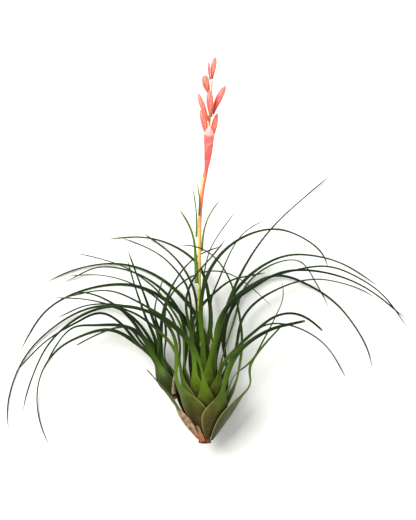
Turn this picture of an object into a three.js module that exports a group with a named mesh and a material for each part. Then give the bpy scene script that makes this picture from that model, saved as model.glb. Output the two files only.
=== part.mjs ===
// An air-plant bromeliad in flower, picked whole and laid on its back: a main rosette of channelled leaves with
// their sheaths nested into a loose bulb, a young side shoot at its foot, and one flower stem with its bracts and
// flowers. Millimetres, +Z up; X runs across the plant, Y runs from its base towards its flowers, and it rests on
// the plane Z = 0.
import * as THREE from "three";

// ---- driving dimensions ------------------------------------------------------------------------------------
const STEM_HEIGHT = 18.5; // the foot of the main stem above the surface
const STEM_TILT = 6; // degrees that the main stem rises along Y
const GAP = 0.3; // between neighbouring pieces

// A rosette's leaves run from t = 0, the outermost, to t = 1, the innermost. Each pair is [at t = 0, at t = 1].
const MAIN_ROSETTE = {
  foot: [0, 0, STEM_HEIGHT],
  aim: [0, Math.cos(rad(STEM_TILT)), Math.sin(rad(STEM_TILT))],
  count: 32,
  heelHeight: [1.5, 15.5], // where the sheaths leave the stem, along it
  heelRadius: [4.2, 1.7],
  sheathLength: [28, 34], // along the stem
  flare: [32, 6], // degrees that a sheath leans out
  belly: [0.8, 0.2], // how far a sheath bulges outwards half-way up
  heelHalfWidth: [1.5, 0.42],
  sheathHalfWidth: [8, 2.8],
  neckHalfWidth: [1.75, 1.55],
  bladeRings: 8,
};
const PUP_ROSETTE = {
  foot: [-17, 24, 20],
  aim: [-0.39, 0.92, 0.06],
  count: 10,
  heelHeight: [0.5, 6.5],
  heelRadius: [1.9, 1.1],
  sheathLength: [18, 17],
  flare: [7, 2],
  belly: [3, 0.6],
  heelHalfWidth: [0.8, 0.35],
  sheathHalfWidth: [4.4, 2.2],
  neckHalfWidth: [1.6, 1.35],
  bladeRings: 7,
};
const SHEATH_RINGS = [0, 0.14, 0.32, 0.54, 0.78, 1]; // where along a sheath its sections stand
const WIDEST = 0.58; // where along a sheath it is widest
const SHEATH_THICKNESS = 0.6;
const HEEL_THICKNESS = 0.45;
const BLADE_THICKNESS = 0.7;
const TIP_THICKNESS = 0.32;
const TIP_HALF_WIDTH = 0.3;
const TAPER = 1.9; // the power by which a blade's width falls towards its tip
const CHANNEL_ANGLE = 58; // half the arc, in degrees, of a blade's channelled section
const MARGIN_SHARE = 0.55; // a leaf's thickness at its margins as a share of that at its middle

// Each leaf: the azimuth round the stem (0 is +X, 90 is up), then the points that its blade passes, [x, y, z],
// ending at its tip. swing turns it sideways as it rises, flare and length replace the rosette's own, and cut is
// where along its natural length a blunt, broken leaf ends.
const MAIN_LEAVES = [
  { azimuth: 63, cut: 0.5, route: [[14, 41, 43], [21, 52, 45.5], [36, 62, 44], [56, 67, 37]] },
  { azimuth: 215, narrow: 0.6,
    route: [[-27, 48, 6.5], [-39, 66, 7], [-56, 75, 6], [-78, 68, 4], [-101, 48, 2], [-112, 22, 1.5], [-112, 3, 1.2]] },
  { azimuth: 33, swing: -20, heel: [-0.2, 4.8], flare: 33, length: 33, cut: 0.45,
    route: [[25.5, 40, 29], [28, 46, 30], [34, 54, 31], [43, 64, 31]] },
  { azimuth: 110, swing: 24, length: 31,
    route: [[-16, 44, 40], [-17, 57, 42], [-24, 68, 43], [-42, 75, 42], [-64, 76, 38], [-84, 68, 28]] },
  { azimuth: 260,
    route: [[-8, 62, 1.3], [-30, 83, 1.2], [-53, 87, 1.2], [-83, 78, 1.2], [-95, 67, 1.1], [-106, 48, 1]] },
  { azimuth: 27,
    route: [[20, 44, 37], [21, 57, 43], [19, 73, 49], [13, 92, 55], [4, 104, 57], [-8, 109, 56], [-16, 109, 54]] },
  { azimuth: 139, dry: true, heel: [0.4, 4.6], flare: 38, length: 21, narrow: 0.62,
    route: [[-20.5, 26, 35], [-23.5, 29.5, 36], [-28, 35, 35], [-33, 40.5, 33]] },
  { azimuth: -47.5,
    route: [[11, 55, 6], [15, 72, 5], [24, 84, 5], [39, 92, 4.5], [66, 83, 3.5], [81, 69, 2.5], [92, 52, 1.5],
      [96, 37, 1]] },
  { azimuth: 83, swing: 8, length: 29, narrow: 0.85,
    route: [[-5, 50, 48], [-14, 61, 54], [-25, 70, 59], [-50, 76, 60], [-80, 62, 45], [-95, 40, 24], [-101, 25, 12],
      [-104, 13, 1]] },
  { azimuth: 227.5, route: [[-11, 58, 7], [-18, 77, 7], [-36, 92, 7.5], [-59, 97, 6], [-81, 88, 1.2]] },
  { azimuth: 5, route: [[27, 45, 26], [33, 56, 28], [40, 70, 30], [44, 81, 31], [43, 90, 32]] },
  { azimuth: 142.5,
    route: [[-17, 51, 35], [-28, 63, 36], [-39, 71, 36], [-57, 77, 34], [-67, 79, 31], [-86, 80, 24]] },
  { azimuth: -80, route: [[-1, 60, 5], [-10, 77, 4], [-31, 94, 3.2], [-53, 99, 3], [-76, 95, 2.5], [-91, 88, 1]] },
  { azimuth: 57.5, cut: 0.6, route: [[11, 44, 43], [17, 51, 50], [26, 60, 55], [42, 71, 56], [54, 70, 52], [65, 62, 47]] },
  { azimuth: 195, route: [[-15, 58, 16.5], [-23, 75, 14], [-36, 85, 13], [-56, 92, 11], [-81, 92, 6]] },
  { azimuth: -27.5,
    route: [[18, 52, 14], [21, 66, 12.5], [26, 74, 12], [45, 86, 10], [64, 90, 8], [87, 85, 4], [98, 79, 1.2]] },
  { azimuth: 115, route: [[-7, 52, 41], [-15, 63, 46], [-32, 75, 50], [-53, 84, 49], [-79, 80, 38]] },
  { azimuth: -112.5, route: [[-4, 65, 8], [-6, 83, 6.5], [-12, 96, 5], [-21, 106, 4], [-36, 117, 2.5]] },
  { azimuth: -5, route: [[20, 52, 20], [30, 62, 19], [39, 65, 18], [54, 62, 12], [69, 52, 6], [81, 33, 1]] },
  { azimuth: 162.5, route: [[-13, 62, 28], [-20, 75, 29], [-28, 85, 30], [-45, 97, 29], [-64, 103, 26], [-74, 105, 23]] },
  { azimuth: -60, route: [[10, 62, 11], [15, 79, 9.5], [29, 95, 8.5], [50, 104, 8], [78, 99, 6], [99, 86, 3]] },
  { azimuth: 77.5,
    route: [[5, 52, 39], [11, 72, 50], [20, 81, 55], [42, 94, 61], [67, 94, 58], [90, 85, 47], [109, 71, 33],
      [114, 67, 28]] },
  { azimuth: 215, route: [[-8, 66, 14], [-10, 85, 11], [-21, 100, 10], [-31, 107, 11], [-48, 114, 11]] },
  { azimuth: -7.5,
    route: [[17, 68, 22], [24, 88, 23], [40, 99, 23], [49, 102, 21], [56, 98, 18], [63, 88, 13], [71, 73, 7]] },
  { azimuth: 130, route: [[-7, 56, 34], [-10, 70, 39], [-10, 82, 43], [-4, 94, 46], [3, 102, 47], [12, 113, 46]] },
  { azimuth: -92.5, route: [[3, 62, 11], [2, 82, 9], [-5, 100, 8], [-25, 112, 7], [-36, 114, 6], [-57, 113, 3]] },
  { azimuth: 45,
    route: [[6, 60, 34], [15, 78, 42], [26, 87, 46], [49, 95, 50], [71, 97, 48], [92, 87, 38], [101, 80, 32],
      [115, 62, 18]] },
  { azimuth: 182.5, route: [[-6, 62, 28], [-2, 79, 31], [-1, 90, 32], [3, 107, 34], [11, 120, 36], [18, 129, 37]] },
  { azimuth: -40, route: [[10, 66, 17], [16, 83, 15], [25, 101, 12], [39, 120, 8], [72, 150, 1.2]] },
  { azimuth: 97.5,
    route: [[-2, 64, 36], [-1, 85, 45], [7, 102, 52], [22, 114, 56], [39, 118, 56], [58, 111, 50], [68, 100, 42],
      [69, 95, 39]] },
  { azimuth: -125, route: [[-7, 66, 16], [-2, 75, 13], [5, 82, 11], [14, 89, 9], [35, 94, 5]] },
  { azimuth: 12.5, route: [[4, 60, 26], [4, 79, 29], [8, 90, 32], [17, 110, 38], [24, 118, 40], [35, 124, 41]] },
];
const PUP_LEAVES = [
  { azimuth: 100, route: [[-32, 53, 29.6], [-39, 65, 31], [-52, 77, 30], [-70, 83, 24], [-79, 80, 20]] },
  { azimuth: 217.5,
    route: [[-38, 53, 19], [-45, 60, 18], [-62, 60, 15], [-81, 52, 10], [-93, 36, 6], [-95, 12, 2], [-88, -6, 1]] },
  { azimuth: -12, route: [[-21.5, 60, 22.6], [-21, 78, 23], [-8, 91, 21], [4, 95, 20], [20, 90, 18], [38, 75, 14]] },
  { azimuth: 145, route: [[-37, 53, 26], [-44, 62, 27], [-58, 71, 27], [-77, 63, 20], [-90, 55, 14], [-109, 36, 4]] },
  { azimuth: 270, route: [[-33, 55, 14], [-43, 63, 11], [-58, 64, 9], [-76, 62, 6], [-86, 50, 3.5], [-92, 38, 1.2]] },
  { azimuth: 25, route: [[-24.7, 60, 25], [-28, 72, 25.5], [-23, 92, 25]] },
  { azimuth: 185, cut: 0.5, route: [[-38, 57, 22.5], [-44, 63, 23], [-58, 60, 21], [-72, 53, 18]] },
  { azimuth: -55, route: [[-24.5, 59, 19], [-23, 73, 18.6], [-15, 92, 16], [-3, 104, 15], [4, 107, 14.5], [11, 109, 14]] },
  { azimuth: 78, route: [[-25.5, 57, 32], [-30, 71, 33], [-35, 85, 36], [-43, 107, 41]] },
  { azimuth: 237.5, route: [[-28, 56, 23], [-33, 68, 21.5], [-39, 85, 20], [-44, 102, 19]] },
];

// The flower stem's centre line and radius: [x, y, z, radius].
const SCAPE = [
  [0, 15.9, 20.2, 0.9], [-0.5, 36, 22.3, 0.9], [-1.5, 54, 24.2, 0.9], [-3, 70, 25.4, 0.9], [-3, 90, 28, 0.9],
  [-3, 110, 30.1, 1], [-2.6, 127, 31.9, 1.1], [-1, 143, 33.5, 1.25], [1.2, 154, 34.7, 1.15], [2, 170, 36.4, 0.95],
  [2.6, 180, 37.5, 0.75], [3.6, 192, 38.8, 0.55], [4, 200.8, 39.7, 0.4],
];
// Narrow bracts up the stem: half their greatest width, then the points they pass.
const SCAPE_BRACTS = [
  { name: "scape_bract_lower", halfWidth: 1,
    route: [[-4.6, 88, 29.4], [-5, 100, 31], [-6, 112, 32.4], [-9.5, 122, 33.6], [-15.5, 131, 34.4]] },
  { name: "scape_bract_right", halfWidth: 0.55,
    route: [[-1.5, 106, 31.5], [-1, 114, 32.4], [0.6, 121, 33.2], [3.6, 128, 34], [9.4, 135.6, 34.6]] },
  { name: "scape_bract_left", halfWidth: 0.5, route: [[-4.7, 114, 31.6], [-4.5, 123, 32.6], [-5.2, 132, 33.4], [-6.8, 142, 34]] },
  { name: "scape_bract_upper", halfWidth: 0.45, route: [[-3.2, 126, 33.8], [-3, 135, 35], [-4.2, 144.5, 36]] },
];
const FLOWER_FOOT = 0.5; // how wide a flower is at its stalk, as a share of its greatest radius
// Flowers and buds: the greatest radius, how wide the mouth stays as a share of it, and the points of the centre
// line from stalk to lip.
const FLOWERS = [
  { name: "flower_lower_left", radius: 1.7, mouth: 0.4, route: [[1.6, 168, 34], [-0.1, 177, 34.9], [-2.4, 185, 35.3]] },
  { name: "flower_lower_right", radius: 1.6, mouth: 0.4, route: [[3.9, 168, 34], [5.4, 176.5, 35.1], [7, 183, 35.8]] },
  { name: "flower_left", radius: 1.5, mouth: 0.4, route: [[2, 178.5, 39.6], [-0.9, 186, 39.6], [-3.8, 194, 39.4]] },
  { name: "flower_centre", radius: 1.9, mouth: 0.4, route: [[3.4, 180.5, 41.6], [3, 187, 42.4], [2.7, 195.5, 42.6]] },
  { name: "flower_right", radius: 1.8, mouth: 0.4, route: [[4.4, 182.5, 35.7], [7.6, 190.5, 37.6], [11.6, 198.2, 38.6]] },
  { name: "flower_upper_left", radius: 2, mouth: 0.85, route: [[2.4, 194, 36.6], [0.8, 199, 37.6], [0, 204, 38]] },
  { name: "flower_bud", radius: 0.7, mouth: 0.4, route: [[3, 201, 41.6], [2.4, 206.5, 42.1], [2.2, 211.5, 42.2]] },
  { name: "flower_top", radius: 1.45, mouth: 0.5, route: [[4, 201.7, 39.8], [4.8, 208, 40.3], [5.9, 214, 40.6]] },
];

// ---- helpers -----------------------------------------------------------------------------------------------
function rad(degrees) {
  return (degrees * Math.PI) / 180;
}
const mix = (a, b, t) => a + (b - a) * t;
const between = ([a, b], t) => mix(a, b, t);
const smooth = (t) => THREE.MathUtils.smoothstep(t, 0, 1);
const vec = (p) => new THREE.Vector3(p[0], p[1], p[2]);

// A closed solid through rings of points, all with the same number of points, closed by a fan at each end.
function loft(rings, start, end) {
  const size = rings[0].length;
  const points = [...rings.flat(), start, end];
  const first = points.length - 2;
  const last = points.length - 1;
  const faces = [];
  for (let k = 0; k < size; k += 1) {
    const next = (k + 1) % size;
    for (let n = 0; n + 1 < rings.length; n += 1) {
      const low = n * size;
      const high = low + size;
      faces.push(low + k, low + next, high + next, low + k, high + next, high + k);
    }
    const top = (rings.length - 1) * size;
    faces.push(first, next, k, last, top + k, top + next);
  }
  const geometry = new THREE.BufferGeometry();
  geometry.setAttribute("position", new THREE.Float32BufferAttribute(points.flatMap((p) => p.toArray()), 3));
  geometry.setIndex(signedVolume(points, faces) < 0 ? faces.reverse() : faces);
  return geometry;
}

function signedVolume(points, faces) {
  let sum = 0;
  for (let k = 0; k < faces.length; k += 3) {
    const [a, b, c] = [points[faces[k]], points[faces[k + 1]], points[faces[k + 2]]];
    sum += a.dot(b.clone().cross(c)) / 6;
  }
  return sum;
}

// A strip's section: an arc of half-angle bend round a centre behind it, thinner at its two margins. point(angle,
// offset) gives a point of it. Four points on the outer side, four back along the inner side.
function strip(bend, thickness, point) {
  const shares = [-1, -1 / 3, 1 / 3, 1];
  const half = (share) => (thickness / 2) * (Math.abs(share) === 1 ? MARGIN_SHARE : 1);
  const outer = shares.map((share) => point(share * bend, half(share)));
  const inner = shares.map((share) => point(share * bend, -half(share)));
  return [...outer, ...inner.reverse()];
}

// Sections of a channelled strip along a curve. outward is the direction that its convex side faces at the start,
// and is carried along without twist. shape(v) gives halfWidth, bend and thickness at a share v of the length.
function stripRings(curve, shares, outward, shape) {
  let normal = outward.clone();
  return shares.map((v) => {
    const centre = curve.getPointAt(v);
    const tangent = curve.getTangentAt(v);
    normal = normal.addScaledVector(tangent, -normal.dot(tangent)).normalize();
    const across = normal.clone().cross(tangent);
    const facing = normal.clone();
    const { halfWidth, bend, thickness } = shape(v);
    const radius = halfWidth / Math.sin(bend);
    return strip(bend, thickness, (angle, offset) =>
      centre
        .clone()
        .addScaledVector(facing, (radius + offset) * Math.cos(angle) - radius)
        .addScaledVector(across, (radius + offset) * Math.sin(angle)),
    );
  });
}

function piece(name, geometry, material) {
  const made = new THREE.Mesh(geometry, material);
  made.name = name;
  return made;
}

// ---- materials ---------------------------------------------------------------------------------------------
const leafGreen = new THREE.MeshStandardMaterial({ color: 0x2f5a1c, roughness: 0.5, metalness: 0 });
const drySheath = new THREE.MeshStandardMaterial({ color: 0x8a6a44, roughness: 0.8, metalness: 0 });
const woodyStem = new THREE.MeshStandardMaterial({ color: 0x5a3a24, roughness: 0.9, metalness: 0 });
const scapeGreen = new THREE.MeshStandardMaterial({ color: 0xc99a4e, roughness: 0.5, metalness: 0 });
const coral = new THREE.MeshStandardMaterial({ color: 0xf0685a, roughness: 0.45, metalness: 0 });

// ---- leaves ------------------------------------------------------------------------------------------------
// Cylindrical coordinates round a rosette's stem: along it, round it (0 is +X, 90 is up) and out from it.
function stemFrame(rosette) {
  const foot = vec(rosette.foot);
  const along = vec(rosette.aim).normalize();
  const right = new THREE.Vector3(1, 0, 0).addScaledVector(along, -along.x).normalize();
  const up = right.clone().cross(along);
  const out = (azimuth) =>
    right.clone().multiplyScalar(Math.cos(azimuth)).addScaledVector(up, Math.sin(azimuth));
  const at = (height, azimuth, radius) =>
    foot.clone().addScaledVector(along, height).addScaledVector(out(azimuth), radius);
  return { at, out };
}

// One leaf: a sheath wrapped round the stem as part of a widening cone, then a channelled blade along its route.
function leaf(rosette, frame, leafData, t) {
  const [heelHeight, heelRadius] = leafData.heel ?? [
    between(rosette.heelHeight, t),
    between(rosette.heelRadius, t),
  ];
  const length = leafData.length ?? between(rosette.sheathLength, t);
  const slope = Math.tan(rad(leafData.flare ?? between(rosette.flare, t)));
  const narrow = leafData.narrow ?? 1;
  const azimuth = (u) => rad(leafData.azimuth + (leafData.swing ?? 0) * u * u);
  const radius = (u) => heelRadius + length * slope * u + between(rosette.belly, t) * Math.sin(Math.PI * u);
  const height = (u) => heelHeight + length * u;
  const widest = between(rosette.sheathHalfWidth, t) * narrow;
  const neck = between(rosette.neckHalfWidth, t) * Math.sqrt(narrow);
  const halfWidth = (u) =>
    u < WIDEST
      ? mix(between(rosette.heelHalfWidth, t), widest, Math.sin(((u / WIDEST) * Math.PI) / 2))
      : mix(widest, neck, smooth((u - WIDEST) / (1 - WIDEST)));
  const sheathRing = (u) =>
    strip(halfWidth(u) / radius(u), mix(HEEL_THICKNESS, SHEATH_THICKNESS, Math.min(1, 3 * u)), (angle, offset) =>
      frame.at(height(u), azimuth(u) + angle, radius(u) + offset),
    );
  const spine = (u) => frame.at(height(u), azimuth(u), radius(u));

  const guide = new THREE.CatmullRomCurve3([spine(0.6), spine(0.8), spine(1), ...leafData.route.map(vec)]);
  const neckAt = 2 / (guide.points.length - 1);
  const steps = 60;
  const blade = new THREE.CatmullRomCurve3(
    Array.from({ length: steps + 1 }, (_, k) => guide.getPoint(mix(neckAt, 1, k / steps))),
  );
  const reach = leafData.cut ?? 1; // a broken leaf keeps the lower part of the whole one's taper
  const neckBend = neck / radius(1);
  const rings = rosette.bladeRings;
  const shares = Array.from({ length: rings }, (_, k) => (k + 1) / (rings + (leafData.cut ? 0 : 0.6)));
  const bladeRings = stripRings(blade, shares, frame.out(azimuth(1)), (v) => ({
    halfWidth: TIP_HALF_WIDTH + (neck - TIP_HALF_WIDTH) * (1 - v * reach) ** TAPER,
    bend: mix(neckBend, rad(CHANNEL_ANGLE), smooth(v / 0.3)),
    thickness: mix(BLADE_THICKNESS, TIP_THICKNESS, v * reach),
  }));
  return loft([...SHEATH_RINGS.map(sheathRing), ...bladeRings], spine(0), blade.getPointAt(1));
}

function leaves(rosette, list, prefix) {
  const frame = stemFrame(rosette);
  return list.map((leafData, index) => {
    const name = leafData.dry ? `${prefix}_dry_sheath` : `${prefix}_leaf_${String(index).padStart(2, "0")}`;
    const geometry = leaf(rosette, frame, leafData, index / (rosette.count - 1));
    return piece(name, geometry, leafData.dry ? drySheath : leafGreen);
  });
}

// The short woody stem inside a rosette: a blunt taper that fills what the sheaths' heels leave free.
function stemCore(rosette, name, below, material) {
  const frame = stemFrame(rosette);
  const sides = 10;
  const room = HEEL_THICKNESS / 2 + GAP;
  const profile = [0, 0.25, 0.6, 1].map((t) => [
    mix(-below, rosette.heelHeight[1] - 0.5, t),
    between(rosette.heelRadius, t) - room,
  ]);
  const ring = ([height, radius]) =>
    Array.from({ length: sides }, (_, k) => frame.at(height, (2 * Math.PI * k) / sides, radius));
  const start = frame.at(-below - 0.4, 0, 0);
  const end = frame.at(rosette.heelHeight[1] - 0.3, 0, 0);
  return piece(name, loft(profile.map(ring), start, end), material);
}

// ---- flower stem -------------------------------------------------------------------------------------------
// A round bar of varying radius along a curve.
function bar(curve, shares, sides, radiusAt) {
  let side = new THREE.Vector3(1, 0, 0);
  const rings = shares.map((v) => {
    const centre = curve.getPointAt(v);
    const tangent = curve.getTangentAt(v);
    side = side.addScaledVector(tangent, -side.dot(tangent)).normalize();
    const other = tangent.clone().cross(side);
    const radius = radiusAt(v);
    const facing = side.clone();
    return Array.from({ length: sides }, (_, k) => {
      const angle = (2 * Math.PI * k) / sides;
      return centre
        .clone()
        .addScaledVector(facing, radius * Math.cos(angle))
        .addScaledVector(other, radius * Math.sin(angle));
    });
  });
  const start = curve.getPointAt(shares[0]);
  const end = curve.getPointAt(shares[shares.length - 1]);
  return loft(rings, start, end);
}

function scape() {
  const curve = new THREE.CatmullRomCurve3(SCAPE.map(vec));
  const steps = 22;
  const shares = Array.from({ length: steps + 1 }, (_, k) => k / steps);
  const spots = SCAPE.map((p) => p[1]);
  const radiusAt = (v) => {
    const y = curve.getPointAt(v).y;
    const k = Math.min(SCAPE.length - 2, Math.max(0, spots.findLastIndex((spot) => spot <= y)));
    return mix(SCAPE[k][3], SCAPE[k + 1][3], (y - spots[k]) / (spots[k + 1] - spots[k]));
  };
  return piece("scape", bar(curve, shares, 8, radiusAt), scapeGreen);
}

// A narrow folded bract that stands off the stem, open towards it.
function scapeBract({ name, halfWidth, route }) {
  const curve = new THREE.CatmullRomCurve3(route.map(vec));
  const shares = [0, 0.15, 0.35, 0.6, 0.85];
  const rings = stripRings(curve, shares, new THREE.Vector3(0, 0, 1), (v) => ({
    halfWidth: halfWidth * Math.max(0.3, 1 - v) ** 0.7,
    bend: rad(55),
    thickness: mix(0.5, 0.3, v),
  }));
  return piece(name, loft(rings, curve.getPointAt(0), curve.getPointAt(1)), leafGreen);
}

// The boat-shaped bract that clasps the stem under the flowers: narrow at its foot, widest just under its tip.
function boatBract() {
  const curve = new THREE.CatmullRomCurve3([vec([0.7, 150, 34.5]), vec([1.9, 161, 35.6]), vec([2.6, 176, 37.2])]);
  const radii = [1.6, 1.8, 2.2, 2.7, 2.95, 2.95];
  const bends = [22, 48, 70, 84, 66, 32];
  const shares = [0, 0.18, 0.42, 0.72, 0.82, 0.92];
  const along = new THREE.Vector3(0.07, 1, 0.1).normalize();
  const right = new THREE.Vector3(1, 0, 0).addScaledVector(along, -along.x).normalize();
  const up = right.clone().cross(along);
  const rings = shares.map((v, k) =>
    strip(rad(bends[k]), 0.5, (angle, offset) =>
      curve
        .getPointAt(v)
        .addScaledVector(up, (radii[k] + offset) * Math.cos(angle))
        .addScaledVector(right, (radii[k] + offset) * Math.sin(angle)),
    ),
  );
  const start = curve.getPointAt(0).addScaledVector(up, radii[0]);
  const tip = curve.getPointAt(1).addScaledVector(up, 2.6);
  return piece("flower_bract", loft(rings, start, tip), coral);
}

// A closed flower: it widens from its stalk to its middle, and narrows to a blunt mouth.
function flower({ name, radius, mouth, route }) {
  const curve = new THREE.CatmullRomCurve3(route.map(vec));
  const shares = [0, 0.15, 0.4, 0.65, 0.85, 1];
  const fullness = (v) => mix(FLOWER_FOOT, 1, smooth(v / 0.5)) * mix(1, mouth, Math.max(0, (v - 0.6) / 0.4) ** 2);
  return piece(name, bar(curve, shares, 8, (v) => radius * fullness(v)), coral);
}

// ---- loose papery pieces at the base -------------------------------------------------------------------------
function paperyStrip(name, route, halfWidth, outward) {
  const curve = new THREE.CatmullRomCurve3(route.map(vec));
  const rings = stripRings(curve, [0, 0.3, 0.6, 0.85], vec(outward), (v) => ({
    halfWidth: halfWidth * (1 - 0.6 * v),
    bend: rad(35),
    thickness: 0.4,
  }));
  return piece(name, loft(rings, curve.getPointAt(0), curve.getPointAt(1)), drySheath);
}

// ---- the plant -----------------------------------------------------------------------------------------------
const plant = new THREE.Group();
plant.add(
  stemCore(MAIN_ROSETTE, "stem_base", 2, woodyStem),
  ...leaves(MAIN_ROSETTE, MAIN_LEAVES, "main"),
  paperyStrip("torn_sheath", [[-1.2, -1, 23.9], [-2.4, 3, 25.7], [-4.6, 8.5, 28.8]], 1.5, [-0.4, 0, 1]),
  stemCore(PUP_ROSETTE, "pup_stem", 1.2, woodyStem),
  ...leaves(PUP_ROSETTE, PUP_LEAVES, "pup"),
  paperyStrip("pup_husk", [[-17.6, 26, 28.2], [-17.6, 32, 30.4], [-16.6, 38, 32]], 0.9, [0, 0, 1]),
  scape(),
  ...SCAPE_BRACTS.map(scapeBract),
  boatBract(),
  ...FLOWERS.map(flower),
);

// The origin is under the middle of the whole plant, on the surface that it lies on.
plant.updateMatrixWorld(true);
const box = new THREE.Box3().setFromObject(plant, true);
const middle = box.getCenter(new THREE.Vector3());
plant.position.set(-middle.x, -middle.y, -box.min.z);

export default plant;
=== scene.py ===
"""An unpotted bromeliad in flower, lying on its back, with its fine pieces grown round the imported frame.

Every leaf, bract and flower comes from its frame node. The node is a coarse loft of eight-point sections, so
its sections are read back, smoothed along the piece and filled in across it. All lengths are in metres.
"""

import bpy
import numpy as np
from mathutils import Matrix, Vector


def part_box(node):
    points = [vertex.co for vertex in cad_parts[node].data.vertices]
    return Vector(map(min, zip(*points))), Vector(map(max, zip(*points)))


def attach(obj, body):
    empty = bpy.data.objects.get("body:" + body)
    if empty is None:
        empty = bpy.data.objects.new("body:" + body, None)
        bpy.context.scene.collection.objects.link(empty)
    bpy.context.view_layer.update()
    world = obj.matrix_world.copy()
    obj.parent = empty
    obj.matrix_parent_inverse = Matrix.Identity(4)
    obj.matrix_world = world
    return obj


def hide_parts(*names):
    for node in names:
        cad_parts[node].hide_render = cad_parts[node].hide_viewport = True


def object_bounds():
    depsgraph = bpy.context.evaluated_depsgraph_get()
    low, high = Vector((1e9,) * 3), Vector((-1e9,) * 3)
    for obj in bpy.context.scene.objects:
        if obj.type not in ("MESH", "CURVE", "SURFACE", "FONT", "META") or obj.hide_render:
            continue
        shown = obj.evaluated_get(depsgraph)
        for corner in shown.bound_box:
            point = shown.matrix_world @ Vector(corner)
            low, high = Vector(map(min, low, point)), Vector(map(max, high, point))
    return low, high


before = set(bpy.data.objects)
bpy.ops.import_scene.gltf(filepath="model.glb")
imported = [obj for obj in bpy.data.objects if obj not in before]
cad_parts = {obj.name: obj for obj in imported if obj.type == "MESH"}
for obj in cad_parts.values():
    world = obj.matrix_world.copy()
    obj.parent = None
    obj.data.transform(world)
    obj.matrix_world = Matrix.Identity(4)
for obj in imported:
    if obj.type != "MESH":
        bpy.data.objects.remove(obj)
frame_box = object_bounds()

MM = 0.001
SECTION = 8  # points in a frame section: four on the outer side, four on the inner side
NECK_RING = 5  # the section where a leaf's sheath ends and its blade begins
STATIONS = 96  # fine sections along a leaf
ACROSS = 11  # fine points on each side of a leaf's section
FINE_FROM = 0.93  # the share of a strip's length where its tip's closer sections begin
TIP_STATIONS = 14  # sections towards a strip's tip
ROUND_SIDES = 28  # fine points round a stem or a flower
BLUNT_GAP = 0.6 * MM  # a leaf whose last section is nearer its end point than this is broken off short
BROKEN_EDGE = 2.5 * MM  # the length of a broken leaf's discoloured end
# painted shade: sheaths and necks are darkened by their height above the floor, where shade falls among the
# leaves
SHADED_BELOW = 12 * MM  # the height under which the sheaths and necks are darkest
SHADED_TO = 34 * MM  # the height at which that shading has faded out
PETALS = 3
PETAL_TWIST = 1.4  # radians that the petals turn round a flower from its stalk to its lip
PETAL_STEP = 0.10  # how far a petal's free edge stands out, as a share of the flower's radius
LIP_FROM = 0.86  # the share of a flower's length where it begins to round off
LIP_TO = 1.02  # past its end, so that the lip stays blunt
FLOWER_STATIONS = 48  # fine sections along a flower
BRACT_STATIONS = 40  # fine sections along a narrow bract or a papery strip
BOAT_STATIONS = 140  # fine sections along the boat-shaped bract, close enough for its thin fold line
SCAPE_STATIONS = 160  # fine sections along the flower stem
STREAK_TURN = 0.5  # radians from the top of the flower stem round to the line of its streak, towards -X
HALF_TURN = 3.14  # radians

FLOOR_WIDTH = 4
CAMERA_DISTANCE = 1.5  # above the plant's middle height
PLANT_MIDDLE = 0.03  # that height
VIEW_HEIGHT = 0.291  # what the picture takes in from bottom to top, at that height
CAMERA_RIGHT = 0.0008  # how far the camera stands right of the plant's middle
CAMERA_DOWN = 0.003  # and how far towards the foot


# ---- reading a frame node --------------------------------------------------------------------------------
def welded(name):
    """The frame node's points with the doubled ones joined, and its triangles as indices into them."""
    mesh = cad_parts[name].data
    points = np.empty(len(mesh.vertices) * 3)
    mesh.vertices.foreach_get("co", points)
    mesh.calc_loop_triangles()
    corners = np.empty(len(mesh.loop_triangles) * 3, int)
    mesh.loop_triangles.foreach_get("vertices", corners)
    rounded, index = np.unique(np.round(points.reshape(-1, 3), 7), axis=0, return_inverse=True)
    return rounded, index.reshape(-1)[corners].reshape(-1, 3)


def neighbours(count, triangles):
    """A square table that is true where two points share an edge."""
    table = np.zeros((count, count), bool)
    for a, b in ((0, 1), (1, 2), (2, 0)):
        table[triangles[:, a], triangles[:, b]] = True
        table[triangles[:, b], triangles[:, a]] = True
    return table


def cycle(members, table):
    """The members of one section in order round it, starting anywhere."""
    order = [members[0]]
    while len(order) < len(members):
        step = [m for m in members if table[order[-1], m] and m not in order]
        order.append(step[0])
    return order


def turned_to(ring, previous):
    """The ring's points, started and run so that they lie nearest to the previous ring's, point by point."""
    shifted = ring - ring.mean(0)
    target = previous - previous.mean(0)
    choices = [np.roll(run, k, axis=0) for run in (shifted, shifted[::-1]) for k in range(len(ring))]
    best = min(choices, key=lambda choice: np.sum((choice - target) ** 2))
    return best + ring.mean(0)


def sections(name, foot):
    """A node's sections from the end nearest foot to the other, (sections, 8, 3), and its last point."""
    points, triangles = welded(name)
    table = neighbours(len(points), triangles)
    caps = [p for p in np.flatnonzero(table.sum(1) == SECTION) if is_cap(p, table)]
    start = min(caps, key=lambda p: np.linalg.norm(points[p] - foot))
    reached = np.zeros(len(points), bool)
    reached[start] = True
    layers = []
    front = reached.copy()
    while True:
        front = table[front].any(0) & ~reached
        if not front.any():
            break
        reached |= front
        layers.append(np.flatnonzero(front))
    rings = [points[cycle(list(layer), table)] for layer in layers if len(layer) == SECTION]
    lined = [rings[0]]
    for ring in rings[1:]:
        lined.append(turned_to(ring, lined[-1]))
    return np.array(lined), points[layers[-1][0]]


def is_cap(point, table):
    """Whether a point with eight neighbours closes an end: its neighbours then form one closed ring."""
    around = np.flatnonzero(table[point])
    return bool((table[np.ix_(around, around)].sum(1) == 2).all())


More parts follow.
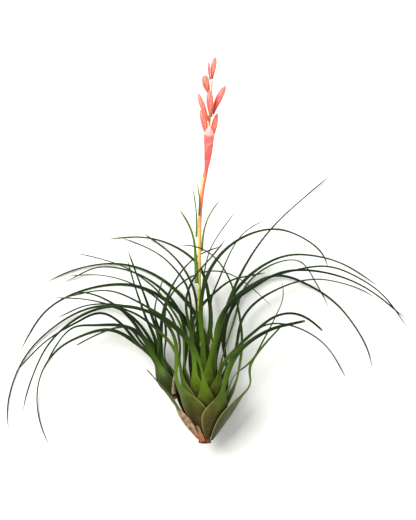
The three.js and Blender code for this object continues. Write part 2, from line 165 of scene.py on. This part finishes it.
def sides_first(rings, widest):
    """Renumbers a strip's sections so that points 0 to 3 run across its convex side and 4 to 7 back."""
    ring = rings[widest]
    edges = np.linalg.norm(np.roll(ring, -1, axis=0) - ring, axis=1)
    margin = min(range(4), key=lambda k: edges[k] + edges[k + 4])
    rings = np.roll(rings, -(margin + 1), axis=1)
    ring = rings[widest]
    bulge = (ring[1] + ring[2]) / 2 - (ring[0] + ring[3]) / 2
    outside = (ring[1] + ring[2]) / 2 - (ring[5] + ring[6]) / 2
    return rings if bulge @ outside > 0 else np.roll(rings, 4, axis=1)


# ---- curves and grids ------------------------------------------------------------------------------------
def spline(knots, values, at):
    """Natural cubic spline through values at the knots: the second slopes solve one linear system."""
    count = len(knots)
    gap = np.diff(knots)
    system = np.eye(count)
    target = np.zeros((count, values.shape[1]))
    for k in range(1, count - 1):
        system[k, k - 1 : k + 2] = gap[k - 1], 2 * (gap[k - 1] + gap[k]), gap[k]
        target[k] = 6 * ((values[k + 1] - values[k]) / gap[k] - (values[k] - values[k - 1]) / gap[k - 1])
    bend = np.linalg.solve(system, target)
    k = np.clip(np.searchsorted(knots, at) - 1, 0, count - 2)
    h = gap[k][:, None]
    a = (knots[k + 1] - at)[:, None] / h
    b = 1 - a
    curve = a * values[k] + b * values[k + 1]
    return curve + ((a**3 - a) * bend[k] + (b**3 - b) * bend[k + 1]) * h**2 / 6


def lengths(points):
    """The distance walked along a polyline up to each of its points."""
    return np.concatenate([[0], np.cumsum(np.linalg.norm(np.diff(points, axis=0), axis=1))])


def smoothstep(low, high, value):
    """0 below low, 1 above high, and an even S between them."""
    t = np.clip((value - low) / (high - low), 0, 1)
    return t * t * (3 - 2 * t)


def grid_faces(rows, columns):
    """Quads of a grid whose columns close on themselves."""
    row, column = np.meshgrid(np.arange(rows - 1), np.arange(columns), indexing="ij")
    here = row * columns + column
    beside = row * columns + (column + 1) % columns
    return np.stack([here, beside, beside + columns, here + columns], -1).reshape(-1, 4)


def solid(name, grid, material, masks, node):
    """A closed piece from a grid of rings (rows, columns, 3), capped at both ends, with its masks."""
    rows, columns, _ = grid.shape
    ends = np.stack([grid[0].mean(0), grid[-1].mean(0)])
    points = np.concatenate([grid.reshape(-1, 3), ends])
    quads = grid_faces(rows, columns).tolist()
    first, last = rows * columns, rows * columns + 1
    top = (rows - 1) * columns
    turn = np.arange(columns)
    beside = (turn + 1) % columns
    caps = [(first, int(b), int(a)) for a, b in zip(turn, beside)]
    caps += [(last, int(top + a), int(top + b)) for a, b in zip(turn, beside)]
    mesh = bpy.data.meshes.new(name)
    mesh.from_pydata(points.tolist(), [], quads + caps)
    flip_if_inside_out(mesh)
    for key, values in masks.items():
        spread = np.broadcast_to(values, (rows, columns)).reshape(-1)
        full = np.concatenate([spread, [values.flat[0], values.flat[-1]]])
        mesh.attributes.new(key, "FLOAT", "POINT").data.foreach_set("value", full.astype(np.float32))
    mesh.polygons.foreach_set("use_smooth", np.ones(len(mesh.polygons), bool))
    mesh.materials.append(material)
    made = bpy.data.objects.new(name, mesh)
    bpy.context.scene.collection.objects.link(made)
    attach(made, "root")
    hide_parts(node)
    return made


def flip_if_inside_out(mesh):
    """Turns every face round if the mesh's signed volume is negative."""
    mesh.calc_loop_triangles()
    corners = np.empty(len(mesh.loop_triangles) * 3, int)
    mesh.loop_triangles.foreach_get("vertices", corners)
    points = np.empty(len(mesh.vertices) * 3)
    mesh.vertices.foreach_get("co", points)
    a, b, c = points.reshape(-1, 3)[corners.reshape(-1, 3)].transpose(1, 0, 2)
    if np.einsum("ij,ij->", a, np.cross(b, c)) < 0:
        mesh.flip_normals()


# ---- materials -------------------------------------------------------------------------------------------
def colour(red, green, blue):
    """A colour given as screen values from 0 to 255, as the linear values that a shader takes."""
    screen = np.array([red, green, blue]) / 255
    linear = np.where(screen <= 0.04045, screen / 12.92, ((screen + 0.055) / 1.055) ** 2.4)
    return (*linear.tolist(), 1.0)


class Finish:
    """A material or node group being wired up: node() adds a node and links or sets its inputs by name."""

    def __init__(self, tree):
        self.tree = tree

    def node(self, kind, inputs=None, **settings):
        made = self.tree.nodes.new(kind)
        for key, value in settings.items():
            setattr(made, key, value)
        for key, value in (inputs or {}).items():
            if isinstance(value, bpy.types.NodeSocket):
                self.tree.links.new(value, made.inputs[key])
            else:
                made.inputs[key].default_value = value
        return made

    def mask(self, name):
        return self.node("ShaderNodeAttribute", attribute_name=name).outputs["Fac"]

    def mix(self, amount, under, over):
        made = self.node("ShaderNodeMix", data_type="RGBA")
        for socket, value in zip((made.inputs[0], made.inputs[6], made.inputs[7]), (amount, under, over)):
            if isinstance(value, bpy.types.NodeSocket):
                self.tree.links.new(value, socket)
            else:
                socket.default_value = value
        return made.outputs[2]

    def maths(self, operation, a, b=0.5):
        return self.node("ShaderNodeMath", {0: a, 1: b}, operation=operation).outputs[0]

    def spread(self, value, low, high, to_low=0.0, to_high=1.0):
        inputs = {"Value": value, "From Min": low, "From Max": high, "To Min": to_low, "To Max": to_high}
        return self.node("ShaderNodeMapRange", inputs, interpolation_type="SMOOTHSTEP").outputs[0]


def new_material(name):
    made = bpy.data.materials.new(name)
    made.use_nodes = True
    made.node_tree.nodes.clear()
    return made, Finish(made.node_tree)


def new_group(name, inputs, outputs):
    tree = bpy.data.node_groups.new(name, "ShaderNodeTree")
    for key, default in inputs.items():
        tree.interface.new_socket(key, in_out="INPUT", socket_type="NodeSocketFloat").default_value = default
    for key in outputs:
        tree.interface.new_socket(key, in_out="OUTPUT", socket_type="NodeSocketFloat")
    finish = Finish(tree)
    return tree, finish, finish.node("NodeGroupInput").outputs, finish.node("NodeGroupOutput").inputs


def placed(finish, tree, inputs):
    """A node group put into a material, with its inputs set or linked."""
    made = finish.node("ShaderNodeGroup", node_tree=tree)
    for key, value in inputs.items():
        if isinstance(value, bpy.types.NodeSocket):
            finish.tree.links.new(value, made.inputs[key])
        else:
            made.inputs[key].default_value = value
    return made.outputs


def mottle_group():
    """Soft uneven patches in object space: two sizes of noise, spread to the whole range from 0 to 1."""
    tree, finish, given, out = new_group("mottle", {"Scale": 60.0, "Fine": 4.0}, ["Patches"])
    place = finish.node("ShaderNodeTexCoord").outputs["Object"]
    broad = finish.node("ShaderNodeTexNoise", {"Vector": place, "Scale": given["Scale"], "Detail": 3.0})
    fine_scale = finish.maths("MULTIPLY", given["Scale"], given["Fine"])
    fine = finish.node("ShaderNodeTexNoise", {"Vector": place, "Scale": fine_scale, "Detail": 2.0})
    both = finish.maths("ADD", finish.maths("MULTIPLY", broad.outputs[0], 0.65),
                        finish.maths("MULTIPLY", fine.outputs[0], 0.35))
    finish.tree.links.new(finish.spread(both, 0.32, 0.68), out["Patches"])
    return tree


def veins_group():
    """Fine ribs that run along a leaf: a sine of the distance across it, roughened by noise."""
    tree, finish, given, out = new_group("veins", {"Across": 0.0, "Ribs": 14.0, "Rough": 0.5}, ["Height"])
    place = finish.node("ShaderNodeTexCoord").outputs["Object"]
    turns = finish.maths("MULTIPLY", given["Ribs"], HALF_TURN)
    wave = finish.maths("SINE", finish.maths("MULTIPLY", given["Across"], turns))
    grit = finish.node("ShaderNodeTexNoise", {"Vector": place, "Scale": 900.0, "Detail": 3.0}).outputs[0]
    rough = finish.maths("MULTIPLY", grit, given["Rough"])
    finish.tree.links.new(finish.maths("ADD", finish.maths("MULTIPLY", wave, 0.5), rough), out["Height"])
    return tree


def leaf_material(name, mottle, veins, blade, bright, sheath, heel, margin, tip, dark):
    """A leaf: dark blade, yellow-green neck, olive sheath that browns to its heel, pale thin margins, and
    painted shade low down and on the inner side.
    """
    made, finish = new_material(name)
    patches = placed(finish, mottle, {"Scale": 70.0, "Fine": 5.0})["Patches"]
    streaks = placed(finish, mottle, {"Scale": 240.0, "Fine": 3.0})["Patches"]
    varied = finish.maths("ADD", finish.maths("MULTIPLY", patches, 0.4),
                          finish.maths("MULTIPLY", finish.mask("tone"), 0.6))
    shade = finish.mix(varied, blade[0], blade[1])
    shade = finish.mix(finish.mask("neck"), shade, bright)
    shade = finish.mix(finish.mask("sheath"), shade, finish.mix(streaks, sheath[0], sheath[1]))
    browning = finish.maths("MULTIPLY", finish.mask("heel"), finish.spread(streaks, 0.0, 1.0, 0.7, 1.0))
    shade = finish.mix(browning, shade, finish.mix(patches, heel[0], heel[1]))
    # painted shade: the leaf turns to the dark colour low down (painted shade) and on its inner side near
    # the sheath (partly that side's own darker colour, partly painted shade)
    shade = finish.mix(finish.maths("MAXIMUM", finish.mask("inner"), finish.mask("painted_shade_low")), shade, dark)
    shade = finish.mix(finish.mask("margin"), shade, margin)
    shade = finish.mix(finish.mask("tip"), shade, tip)
    height = placed(finish, veins, {"Across": finish.mask("across"), "Ribs": 9.0, "Rough": 0.6})["Height"]
    bump = finish.node("ShaderNodeBump", {"Height": height, "Strength": 0.25, "Distance": 0.00012})
    rough = finish.spread(patches, 0.0, 1.0, 0.42, 0.62)
    skin = finish.node("ShaderNodeBsdfPrincipled", {"Base Color": shade, "Roughness": rough,
                                                    "Normal": bump.outputs[0], "Specular IOR Level": 0.16})
    finish.node("ShaderNodeOutputMaterial", {"Surface": skin.outputs[0]})
    return made


def dry_material(mottle, veins):
    """A dead papery sheath: tan with brown fibres, and orange, silver or green where its masks say so."""
    made, finish = new_material("dry_husk")
    patches = placed(finish, mottle, {"Scale": 160.0, "Fine": 4.0})["Patches"]
    ribs = placed(finish, veins, {"Across": finish.mask("across"), "Ribs": 7.0, "Rough": 1.0})["Height"]
    both = finish.maths("ADD", finish.maths("MULTIPLY", ribs, 0.5), finish.maths("MULTIPLY", patches, 0.9))
    fibres = finish.spread(both, 0.2, 1.0)
    shade = finish.mix(fibres, colour(70, 46, 26), colour(200, 160, 118))
    shade = finish.mix(finish.mask("foot"), shade, colour(176, 92, 44))
    shade = finish.mix(finish.mask("silver"), shade, colour(150, 158, 132))
    shade = finish.mix(finish.mask("green"), shade, colour(82, 88, 34))
    bump = finish.node("ShaderNodeBump", {"Height": ribs, "Strength": 0.7, "Distance": 0.0003})
    skin = finish.node("ShaderNodeBsdfPrincipled",
                       {"Base Color": shade, "Roughness": 0.85, "Normal": bump.outputs[0]})
    finish.node("ShaderNodeOutputMaterial", {"Surface": skin.outputs[0]})
    return made


def scape_material(mottle, veins):
    """The flower stem: yellow-green low down, then orange, coral pink and olive, with a yellow streak."""
    made, finish = new_material("flower_stem")
    along = finish.mask("along")
    patches = placed(finish, mottle, {"Scale": 120.0, "Fine": 4.0})["Patches"]
    shade = finish.mix(finish.spread(along, 0.38, 0.5), colour(140, 156, 50), colour(232, 168, 92))
    shade = finish.mix(finish.spread(along, 0.51, 0.65), shade, colour(236, 112, 84))
    shade = finish.mix(finish.spread(along, 0.82, 0.93), shade, colour(160, 150, 62))
    line = finish.spread(finish.mask("round"), 0.9, 0.99)
    streak = finish.maths("MULTIPLY", line, finish.spread(patches, 0.0, 0.8))
    shade = finish.mix(finish.maths("MULTIPLY", streak, 0.85), shade, colour(246, 206, 116))
    height = placed(finish, veins, {"Across": finish.mask("across"), "Ribs": 6.0, "Rough": 0.4})["Height"]
    bump = finish.node("ShaderNodeBump", {"Height": height, "Strength": 0.2, "Distance": 0.0001})
    skin = finish.node("ShaderNodeBsdfPrincipled",
                       {"Base Color": shade, "Roughness": 0.42, "Normal": bump.outputs[0]})
    finish.node("ShaderNodeOutputMaterial", {"Surface": skin.outputs[0]})
    return made


def flower_material(mottle, veins):
    """Waxy coral petals: brown at the stalk, paler towards the lip, yellow along the petals' edges."""
    made, finish = new_material("coral_flower")
    along = finish.mask("along")
    patches = placed(finish, mottle, {"Scale": 150.0, "Fine": 3.0})["Patches"]
    shade = finish.mix(patches, colour(230, 70, 74), colour(242, 112, 102))
    shade = finish.mix(finish.maths("MULTIPLY", finish.mask("foot"), 0.8), shade, colour(150, 84, 34))
    paling = finish.maths("MULTIPLY", finish.spread(along, 0.55, 1.0), 0.6)
    shade = finish.mix(paling, shade, colour(246, 150, 138))
    shade = finish.mix(finish.maths("MULTIPLY", finish.mask("edge"), 0.75), shade, colour(244, 186, 96))
    shade = finish.mix(finish.mask("pale"), shade, colour(246, 190, 186))
    height = placed(finish, veins, {"Across": finish.mask("across"), "Ribs": 8.0, "Rough": 0.4})["Height"]
    bump = finish.node("ShaderNodeBump", {"Height": height, "Strength": 0.2, "Distance": 0.0001})
    glow = {"Subsurface Weight": 0.1, "Subsurface Radius": (0.002, 0.001, 0.0008), "Subsurface Scale": 0.5}
    skin = finish.node("ShaderNodeBsdfPrincipled",
                       {"Base Color": shade, "Roughness": 0.4, "Normal": bump.outputs[0]} | glow)
    finish.node("ShaderNodeOutputMaterial", {"Surface": skin.outputs[0]})
    return made


def wood_material(mottle):
    """The woody stem: dark brown, rough and cracked."""
    made, finish = new_material("woody_stem")
    patches = placed(finish, mottle, {"Scale": 220.0, "Fine": 5.0})["Patches"]
    shade = finish.mix(patches, colour(48, 28, 18), colour(122, 78, 48))
    bump = finish.node("ShaderNodeBump", {"Height": patches, "Strength": 0.8, "Distance": 0.0005})
    skin = finish.node("ShaderNodeBsdfPrincipled",
                       {"Base Color": shade, "Roughness": 0.9, "Normal": bump.outputs[0]})
    finish.node("ShaderNodeOutputMaterial", {"Surface": skin.outputs[0]})
    return made


# ---- leaves ----------------------------------------------------------------------------------------------
def across_four(corners, shares):
    """The cubic through four evenly spaced points across a leaf, at shares -1 to 1: (rows, shares, 3)."""
    places = np.array([-1, -1 / 3, 1 / 3, 1])
    weights = np.ones((len(shares), 4))
    for k in range(4):
        for other in range(4):
            if other != k:
                weights[:, k] *= (shares - places[other]) / (places[k] - places[other])
    return np.einsum("sk,rkc->rsc", weights, corners)


def strip_grid(rings, end, stations, pointed):
    """Fine closed sections along a strip: its eight tracks follow splines, and rounded margins join them.

    Stations are even up to FINE_FROM of the length, and the last few crowd towards the tip.
    """
    if pointed:
        rings = np.concatenate([rings, np.broadcast_to(end, (1, SECTION, 3))])
    knots = lengths(rings.mean(1))
    crowded = 1 - (1 - FINE_FROM) * np.linspace(1, 0, TIP_STATIONS)[1:] ** 1.3
    at = np.concatenate([np.linspace(0, FINE_FROM, stations), crowded]) * knots[-1]
    fine = spline(knots, rings.reshape(len(rings), -1), at).reshape(-1, SECTION, 3)
    shares = np.sin(np.linspace(-1, 1, ACROSS) * np.pi / 2)
    outer = across_four(fine[:, :4], shares)
    inner = across_four(fine[:, :3:-1], shares)
    low = rounded_margin(outer[:, 0], inner[:, 0], outer[:, 2])
    high = rounded_margin(outer[:, -1], inner[:, -1], outer[:, -3])
    grid = np.concatenate([outer, high[:, None], inner[:, ::-1], low[:, None]], axis=1)
    across = np.concatenate([shares, [1.0], shares[::-1], [-1.0]])
    outside = np.concatenate([np.ones(ACROSS), [0.5], np.zeros(ACROSS), [0.5]])
    return grid, at, across, outside


def rounded_margin(outer, inner, towards):
    """The point that rounds off a margin: half-way between its edges, pushed out by half their distance."""
    middle = (outer + inner) / 2
    away = middle - towards
    away /= np.maximum(np.linalg.norm(away, axis=1, keepdims=True), 1e-9)
    return middle + away * np.linalg.norm(outer - inner, axis=1, keepdims=True) * 0.5


def leaf(node, foot, material, luck, heel=(1.0, 0.36)):
    """A whole leaf from its node: sheath, neck and channelled blade, with masks for each zone's colour and
    for painted shade.

    In the masks, along runs from 0 to 1 over the whole leaf, and walked is 1 where its sheath ends. The
    sheath browns between the two values of walked that heel holds.
    """
    rings, end = sections(node, foot)
    rings = sides_first(rings, 3)
    blunt = np.linalg.norm(end - rings[-1].mean(0)) < BLUNT_GAP
    grid, at, across, outside = strip_grid(rings, end, STATIONS, not blunt)
    neck_at = lengths(rings.mean(1))[NECK_RING]
    along = (at / at[-1])[:, None]
    walked = (at / neck_at)[:, None]
    tone = luck.random()
    tip = smoothstep(0.985 - 0.05 * luck.random(), 1.0, along)
    if blunt:
        tip = smoothstep(1 - BROKEN_EDGE / at[-1], 1, along) * 0.9
    masks = {
        "along": along,
        "across": across[None, :],
        "tone": np.full((1, 1), tone),
        "heel": smoothstep(*heel, walked) * (0.75 + 0.25 * luck.random()),
        "sheath": smoothstep(1.05, 0.55, walked),
        "neck": smoothstep(2.3, 1.0, walked) * (0.35 + 0.45 * luck.random()),
        "margin": smoothstep(0.93, 1.0, np.abs(across))[None, :] * smoothstep(1.0, 0.6, walked) * 0.7,
        # the inner side of the sheath and neck is darkened: partly its own darker colour, partly painted
        # shade in the gaps between leaves
        "inner": (1 - outside)[None, :] * smoothstep(2.2, 1.0, walked) * 0.75,
        # painted shade: darkest below SHADED_BELOW, fading out by SHADED_TO, where shade falls between the
        # leaves
        "painted_shade_low": smoothstep(SHADED_TO, SHADED_BELOW, grid[..., 2]) * smoothstep(2.6, 1.4, walked) * 0.62,
        "tip": tip,
        "green": smoothstep(0.75, 1.0, walked),
        "foot": smoothstep(0.3, 0.0, walked),
    }
    return solid(node + "_fine", grid, material, masks, node)


def narrow_strip(node, foot, material, extra, stations=BRACT_STATIONS):
    """A bract or a papery strip from its node; extra holds more masks, as functions of along and across."""
    rings, end = sections(node, foot)
    rings = sides_first(rings, 1)
    grid, at, across, _ = strip_grid(rings, end, stations, True)
    along = (at / at[-1])[:, None]
    masks = {"along": along, "across": across[None, :], "tone": np.full((1, 1), 0.6)}
    masks |= {key: make(along, across[None, :]) for key, make in extra.items()}
    return solid(node + "_fine", grid, material, masks, node)


# ---- stems and flowers -----------------------------------------------------------------------------------
def round_grid(rings, stations, swell):
    """Fine round sections along a stem or a flower, whose centre line and radius follow splines.

    swell(v, a) scales the radius at a share v of the length and an angle a from +X, towards +Z on a piece
    that runs along +Y.
    """
    centres = rings.mean(1)
    knots = lengths(centres)
    at = np.linspace(0, knots[-1], stations)
    fine = spline(knots, rings.reshape(len(rings), -1), at).reshape(-1, rings.shape[1], 3)
    middle = fine.mean(1)
    tangent = np.gradient(middle, axis=0)
    tangent /= np.linalg.norm(tangent, axis=1, keepdims=True)
    radius = np.linalg.norm(fine - middle[:, None], axis=2).mean(1)[:, None]
    side = np.array([1.0, 0.0, 0.0]) - tangent[:, :1] * tangent
    side /= np.linalg.norm(side, axis=1, keepdims=True)
    other = np.cross(side, tangent)
    angle = np.linspace(0, 2 * np.pi, ROUND_SIDES, endpoint=False)
    v = (at / at[-1])[:, None]
    reach = radius * swell(v, angle[None, :])
    around = side[:, None] * np.cos(angle)[None, :, None] + other[:, None] * np.sin(angle)[None, :, None]
    return middle[:, None] + around * reach[..., None], v, angle[None, :]


def stem(node, foot, material, swell, stations):
    """A round stem from its node, with a mask that is 1 along the line of its streak."""
    rings, _ = sections(node, foot)
    grid, v, angle = round_grid(rings, stations, swell)
    streak = 0.5 + 0.5 * np.cos(angle - np.pi / 2 - STREAK_TURN)
    masks = {"along": v, "across": np.abs(angle / np.pi - 1), "round": streak}
    return solid(node + "_fine", grid, material, masks, node)


def flower(node, foot, material):
    """A closed flower: three petals rolled over each other and a rounded lip."""
    rings, _ = sections(node, foot)

    def across_petal(v, angle):
        return (angle + PETAL_TWIST * v) * PETALS % (2 * np.pi) / (2 * np.pi)

    def swell(v, angle):
        step = 1 + PETAL_STEP * (across_petal(v, angle) - 0.5)
        return step * np.sqrt(np.clip(1 - smoothstep(LIP_FROM, LIP_TO, v), 0.02, 1))

    grid, v, angle = round_grid(rings, FLOWER_STATIONS, swell)
    fold = across_petal(v, angle)
    masks = {
        "along": v,
        "across": np.abs(angle / np.pi - 1),
        "edge": smoothstep(0.8, 1.0, fold) * smoothstep(0.1, 0.5, v),
        "foot": smoothstep(0.4, 0.0, v),
        "pale": smoothstep(0.97, 1.0, v) * 0.7,
    }
    return solid(node + "_fine", grid, material, masks, node)


# ---- the plant -------------------------------------------------------------------------------------------
def centre_of(node):
    """The middle of a node's box."""
    low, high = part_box(node)
    return np.array((low + high) / 2)


def faint_ridges(v, angle):
    """Three low ridges that run up the flower stem."""
    return 1 + 0.04 * np.cos(3 * angle)


def orange_foot(along, across):
    """A torn strip's orange foot, which fades towards its tip."""
    return smoothstep(0.9, 0.2, along) * 0.8


def silver_cast(along, across):
    """The husk's silvery cast, stronger towards its tip."""
    return 0.4 + 0.5 * smoothstep(0, 1, along)


luck = np.random.default_rng(12)
mottle = mottle_group()
veins = veins_group()
# dark is the colour of the painted shade low down, and of the inner side, which is partly its own darker
# colour and partly painted shade
green_leaf = leaf_material(
    "leaf_green", mottle, veins,
    blade=(colour(7, 22, 5), colour(40, 64, 14)), bright=colour(106, 142, 26),
    sheath=(colour(62, 76, 16), colour(116, 124, 40)), heel=(colour(34, 20, 13), colour(80, 54, 32)),
    margin=colour(176, 164, 112), tip=colour(150, 136, 62), dark=colour(18, 20, 8),
)
pup_leaf = leaf_material(
    "pup_leaf", mottle, veins,
    blade=(colour(7, 22, 5), colour(38, 60, 14)), bright=colour(84, 118, 24),
    sheath=(colour(66, 88, 20), colour(100, 116, 40)), heel=(colour(8, 6, 9), colour(34, 24, 26)),
    margin=colour(120, 112, 84), tip=colour(150, 136, 62), dark=colour(18, 20, 8),
)
green_bract = leaf_material(
    "bract_green", mottle, veins,
    blade=(colour(56, 90, 26), colour(96, 128, 46)), bright=colour(110, 144, 48),
    sheath=(colour(110, 138, 50), colour(130, 152, 64)), heel=(colour(140, 130, 60), colour(150, 140, 70)),
    margin=colour(150, 160, 90), tip=colour(150, 146, 92), dark=colour(60, 80, 24),
)
husk = dry_material(mottle, veins)
flower_stem = scape_material(mottle, veins)
coral = flower_material(mottle, veins)
wood = wood_material(mottle)

main_foot = centre_of("stem_base")
pup_foot = centre_of("pup_stem")
for node in sorted(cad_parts):
    if node.startswith("main_leaf"):
        leaf(node, main_foot, green_leaf, luck)
    elif node.startswith("pup_leaf"):
        leaf(node, pup_foot, pup_leaf, luck, heel=(1.0, 0.62))
    elif node.startswith("scape_bract"):
        narrow_strip(node, main_foot, green_bract,
                     {"tip": lambda along, across: smoothstep(0.85, 1.0, along)})
    elif node == "torn_sheath":
        narrow_strip(node, main_foot, husk, {"foot": orange_foot})
    elif node == "pup_husk":
        narrow_strip(node, main_foot, husk, {"silver": silver_cast})
    elif node.startswith("flower") and node != "flower_bract":
        flower(node, main_foot, coral)

boat_masks = {
    "edge": lambda along, across: smoothstep(0.9, 1.0, np.abs(across)) * smoothstep(0.1, 0.3, along) * 0.6,
    "pale": lambda along, across: np.maximum(
        0.8 * smoothstep(0.75, 0.8, along - 0.04 * np.abs(across)),
        0.75 * smoothstep(0.024, 0.0, np.abs(along - 0.6 + 0.1 * across)) * smoothstep(0.55, 0.2, across),
    ),
}
narrow_strip("flower_bract", main_foot, coral, boat_masks, BOAT_STATIONS)
dry = leaf("main_dry_sheath", main_foot, husk, luck)
stem("scape", main_foot, flower_stem, faint_ridges, SCAPE_STATIONS)
for node in ("stem_base", "pup_stem"):
    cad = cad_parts[node]
    cad.data.materials.clear()
    cad.data.materials.append(wood)


# ---- floor, light and camera -----------------------------------------------------------------------------
def stage():
    """The white floor, the even white surroundings, two soft lamps and the camera, which looks down."""
    low, high = frame_box
    centre = [(a + b) / 2 for a, b in zip(low, high)]
    bpy.ops.mesh.primitive_plane_add(size=FLOOR_WIDTH, location=(centre[0], centre[1], 0))
    floor = bpy.context.object
    floor.name = "floor"
    made, finish = new_material("floor")
    skin = finish.node("ShaderNodeBsdfPrincipled",
                       {"Base Color": colour(251, 252, 246), "Roughness": 0.9, "Specular IOR Level": 0.0})
    finish.node("ShaderNodeOutputMaterial", {"Surface": skin.outputs[0]})
    floor.data.materials.append(made)

    world = bpy.data.worlds.new("studio")
    bpy.context.scene.world = world
    world.use_nodes = True
    world.node_tree.nodes["Background"].inputs[0].default_value = colour(252, 253, 250)
    world.node_tree.nodes["Background"].inputs[1].default_value = 0.4

    for name, place, size, power in (
        ("key_light", (-0.5, 0.4, 1.0), 0.7, 19.0),
        ("fill_light", (0.7, -0.4, 0.9), 1.0, 3.0),
    ):
        lamp = bpy.data.lights.new(name, "AREA")
        lamp.size = size
        lamp.energy = power
        holder = bpy.data.objects.new(name, lamp)
        bpy.context.scene.collection.objects.link(holder)
        holder.location = place
        holder.rotation_euler = (-Vector(place)).to_track_quat("-Z", "Y").to_euler()

    lens = bpy.data.cameras.new("camera")
    view = bpy.data.objects.new("camera", lens)
    bpy.context.scene.collection.objects.link(view)
    lens.lens = lens.sensor_width * CAMERA_DISTANCE / VIEW_HEIGHT
    view.location = (centre[0] + CAMERA_RIGHT, centre[1] - CAMERA_DOWN, PLANT_MIDDLE + CAMERA_DISTANCE)
    lens.clip_end = 10
    bpy.context.scene.camera = view
    bpy.context.scene.view_settings.view_transform = "Standard"


stage()
